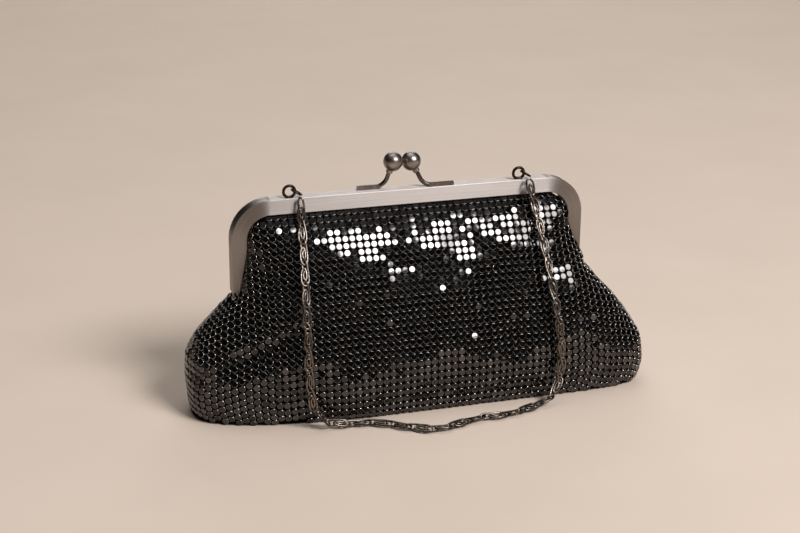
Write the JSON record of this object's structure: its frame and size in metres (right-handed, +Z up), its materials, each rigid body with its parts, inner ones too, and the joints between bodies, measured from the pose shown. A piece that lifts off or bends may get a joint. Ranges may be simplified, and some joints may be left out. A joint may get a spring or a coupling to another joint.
{
  "type": "evening bag",
  "caption": "Kiss-lock evening bag of black metal mesh on a satin nickel two-part frame, with a ball clasp and a scroll chain that hangs from the frame and lies on the floor.",
  "frame": {"origin": "on the floor, at the middle of the bag's bounding box without its chain", "axes": "+X along the bag, from its left end to its right end seen from the front; +Y to the back; +Z up; the frame closes on the plane Y = 0"},
  "size_m": [0.269, 0.1075, 0.141],
  "materials": {
    "satin_nickel": "satin brushed nickel plate",
    "pewter": "satin pewter plate",
    "gunmetal_chain": "antique gunmetal plate, worn bright on the edges",
    "black_mesh": "gloss black enamelled discs on woven metal mesh",
    "black_satin": "black satin lining",
    "board": "grey board",
    "paper_cord": "twisted paper"
  },
  "bodies": {
    "bag_body": {"chain": "gunmetal_chain", "front_mesh_lower": "black_mesh", "front_mesh_fold": "black_mesh", "rear_mesh_lower": "black_mesh", "rear_mesh_fold": "black_mesh", "left_mesh_end": "black_mesh", "right_mesh_end": "black_mesh", "base_mesh": "black_mesh", "front_lining_fold": "black_satin", "rear_lining_fold": "black_satin", "lining_bag": "black_satin", "slip_pocket": "black_satin", "base_board": "board"},
    "front_jaw": {"front_frame": "satin_nickel", "front_paper_cord": "paper_cord", "front_clasp_arm": "pewter", "front_clasp_ball": "pewter", "left_frame_loop": "gunmetal_chain", "right_frame_loop": "gunmetal_chain", "left_jump_ring": "gunmetal_chain", "right_jump_ring": "gunmetal_chain", "front_mesh_upper": "black_mesh", "front_lining_upper": "black_satin"},
    "rear_jaw": {"rear_frame": "satin_nickel", "rear_paper_cord": "paper_cord", "rear_clasp_arm": "pewter", "rear_clasp_ball": "pewter", "left_hinge_rivet": "satin_nickel", "right_hinge_rivet": "satin_nickel", "rear_mesh_upper": "black_mesh", "rear_lining_upper": "black_satin"}
  },
  "joints": [
    {"name": "front_jaw_hinge", "type": "hinge", "parent": "bag_body", "child": "front_jaw", "pos_m": [0, 0, 0.064], "axis": [1, 0, 0], "range_deg": [0, 35], "deforming": ["front_mesh_fold", "front_lining_fold", "chain"]},
    {"name": "rear_jaw_hinge", "type": "hinge", "parent": "bag_body", "child": "rear_jaw", "pos_m": [0, 0, 0.064], "axis": [-1, 0, 0], "range_deg": [0, 35], "deforming": ["rear_mesh_fold", "rear_lining_fold"]}
  ]
}
